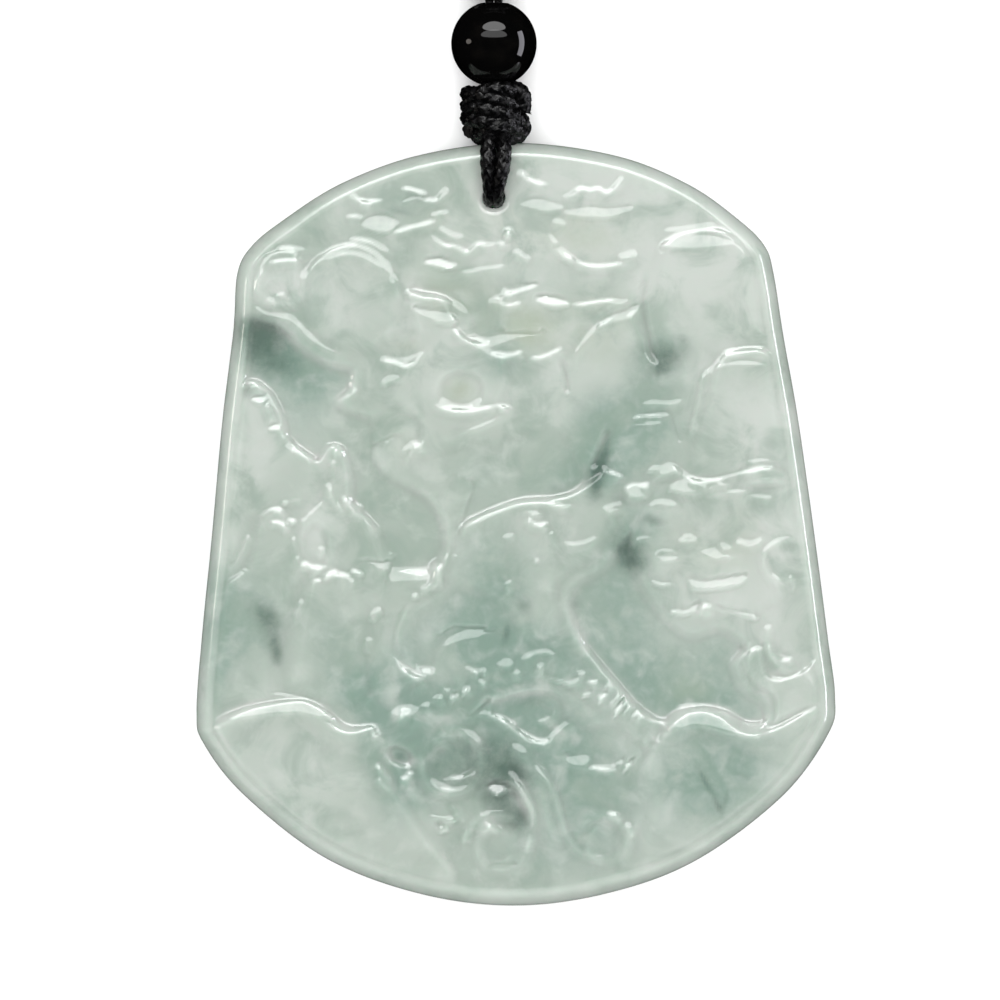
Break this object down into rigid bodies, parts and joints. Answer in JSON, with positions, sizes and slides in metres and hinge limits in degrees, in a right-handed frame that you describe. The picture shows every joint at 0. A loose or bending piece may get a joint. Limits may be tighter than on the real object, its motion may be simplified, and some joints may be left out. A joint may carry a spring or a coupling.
{
  "type": "jade plaque pendant",
  "caption": "Flat pendant of pale jade carved with a mountain landscape and a bridge, on a black braided cord with a bead and knots.",
  "frame": {"origin": "under the middle of the plaque, on the surface that the plaque's flat back lies on", "axes": "+Z out of the carved face, +Y towards the plaque's top edge with the bore, +X to the right when looking at the carved face"},
  "size_m": [0.0486, 0.1, 0.0069],
  "materials": {
    "jade": "polished, milky, pale grey-green with dark green clouds",
    "cord": "black braided nylon cord with a slight sheen",
    "bead": "black stone, highly polished"
  },
  "bodies": {
    "root": {"jade_plaque": "jade", "hanging_loop": "cord", "lower_knot": "cord", "bead": "bead", "bead_strands": "cord", "upper_knot": "cord", "neck_cord_left": "cord", "neck_cord_right": "cord", "cord_coil": "cord"}
  },
  "joints": []
}
